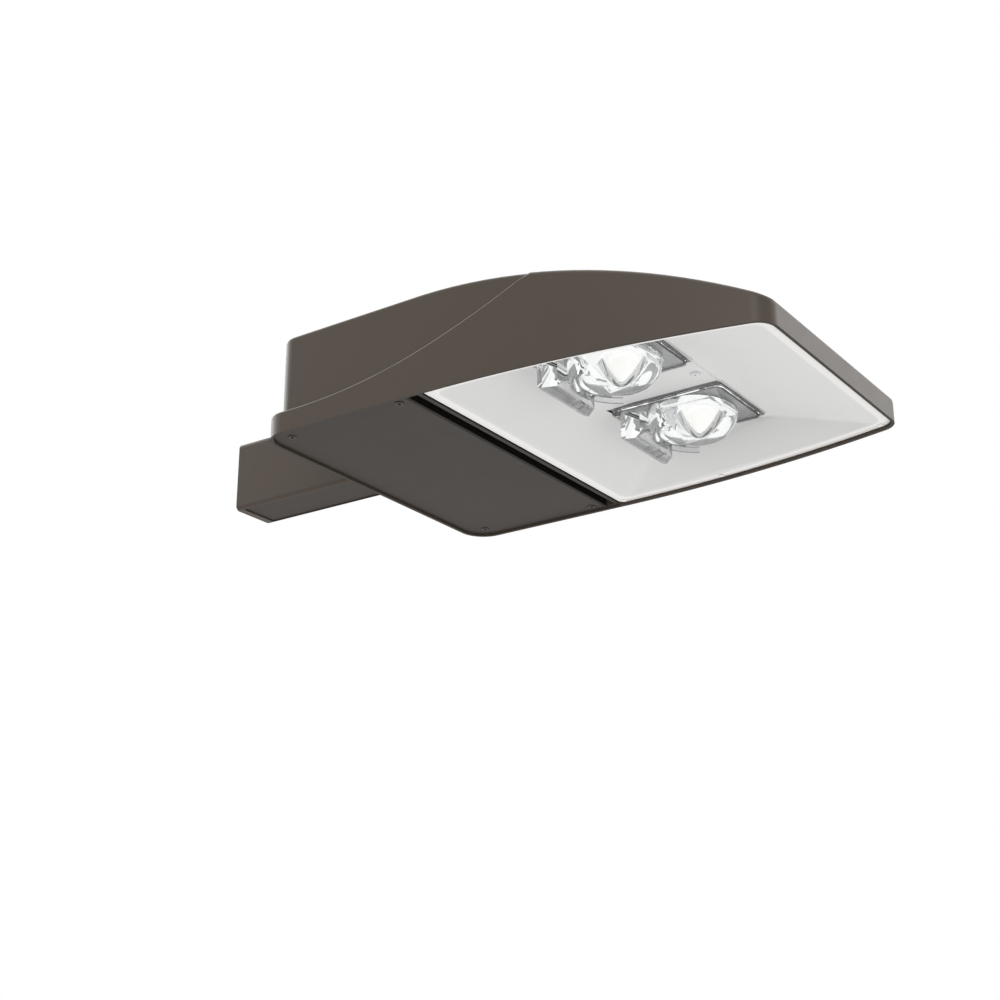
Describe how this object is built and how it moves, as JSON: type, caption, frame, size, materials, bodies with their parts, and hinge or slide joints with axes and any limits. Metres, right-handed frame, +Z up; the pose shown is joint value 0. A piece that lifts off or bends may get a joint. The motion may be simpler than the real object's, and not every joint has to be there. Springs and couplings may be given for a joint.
{
  "type": "area light",
  "caption": "Pole-mounted outdoor area light: arched stepped die-cast head with finned top, screwed driver cover, white reflector pan with clear bowl lenses, and square arm.",
  "frame": {"origin": "centre of the arm's face that bolts to the pole", "axes": "+X out from the pole along the arm to the tip of the head, +Y to the left when looking out along +X, +Z up"},
  "size_m": [0.672, 0.3536, 0.0977],
  "materials": {
    "bronze_powder_coat": "satin dark bronze powder coat on die-cast aluminium",
    "bronze_powder_coat_dark": "satin dark bronze powder coat, on the cover and the strip",
    "dark_screw_steel": "dark coated steel screws",
    "zinc_steel": "zinc plated steel",
    "black_rubber": "matt black gasket rubber",
    "driver_case_paint": "black painted driver case",
    "surge_case_plastic": "blue-grey moulded case",
    "terminal_plastic": "off-white moulded terminal block",
    "red_lead_pvc": "red lead insulation",
    "blue_lead_pvc": "blue lead insulation",
    "white_enamel": "white satin enamel on sheet aluminium",
    "white_enamel_screw": "white painted screw heads",
    "brushed_aluminium_plate": "satin rolled aluminium",
    "light_board_laminate": "white light board with a pale yellow emitter",
    "grey_silicone": "pale grey silicone seal",
    "clear_acrylic": "clear moulded acrylic"
  },
  "bodies": {
    "head": {"arm": "bronze_powder_coat", "arm_strip": "bronze_powder_coat_dark", "arm_gasket": "black_rubber", "arm_bolts": "zinc_steel", "housing": "bronze_powder_coat", "heat_sink": "bronze_powder_coat", "heat_sink_screws": "zinc_steel", "cover_gasket": "black_rubber", "led_driver": "driver_case_paint", "driver_screws": "zinc_steel", "surge_protector": "surge_case_plastic", "surge_screws": "zinc_steel", "terminal_block": "terminal_plastic", "terminal_screws": "zinc_steel", "supply_leads": "red_lead_pvc", "output_leads": "blue_lead_pvc", "wire_grommet": "black_rubber", "reflector_pan": "white_enamel", "pan_screws": "white_enamel_screw", "pan_rivets": "white_enamel", "base_plate_left": "brushed_aluminium_plate", "base_plate_right": "brushed_aluminium_plate", "light_board_left": "light_board_laminate", "light_board_right": "light_board_laminate", "lens_seal_left": "grey_silicone", "lens_seal_right": "grey_silicone", "lens_left": "clear_acrylic", "lens_right": "clear_acrylic", "lens_screws_left": "zinc_steel", "lens_screws_right": "zinc_steel"},
    "cover": {"driver_cover": "bronze_powder_coat_dark"},
    "cover_screw_rear_left": {"cover_screw_rear_left": "dark_screw_steel"},
    "cover_screw_rear_right": {"cover_screw_rear_right": "dark_screw_steel"},
    "cover_screw_front_left": {"cover_screw_front_left": "dark_screw_steel"},
    "cover_screw_front_right": {"cover_screw_front_right": "dark_screw_steel"}
  },
  "joints": [
    {"name": "cover_drop", "type": "slide", "parent": "head", "child": "cover", "axis": [0, 0, -1], "range_m": [0, 0.12]},
    {"name": "screw_rear_left_travel", "type": "slide", "parent": "cover", "child": "cover_screw_rear_left", "axis": [0, 0, -1], "range_m": [0, 0.012]},
    {"name": "screw_rear_right_travel", "type": "slide", "parent": "cover", "child": "cover_screw_rear_right", "axis": [0, 0, -1], "range_m": [0, 0.012]},
    {"name": "screw_front_left_travel", "type": "slide", "parent": "cover", "child": "cover_screw_front_left", "axis": [0, 0, -1], "range_m": [0, 0.012]},
    {"name": "screw_front_right_travel", "type": "slide", "parent": "cover", "child": "cover_screw_front_right", "axis": [0, 0, -1], "range_m": [0, 0.012]}
  ]
}
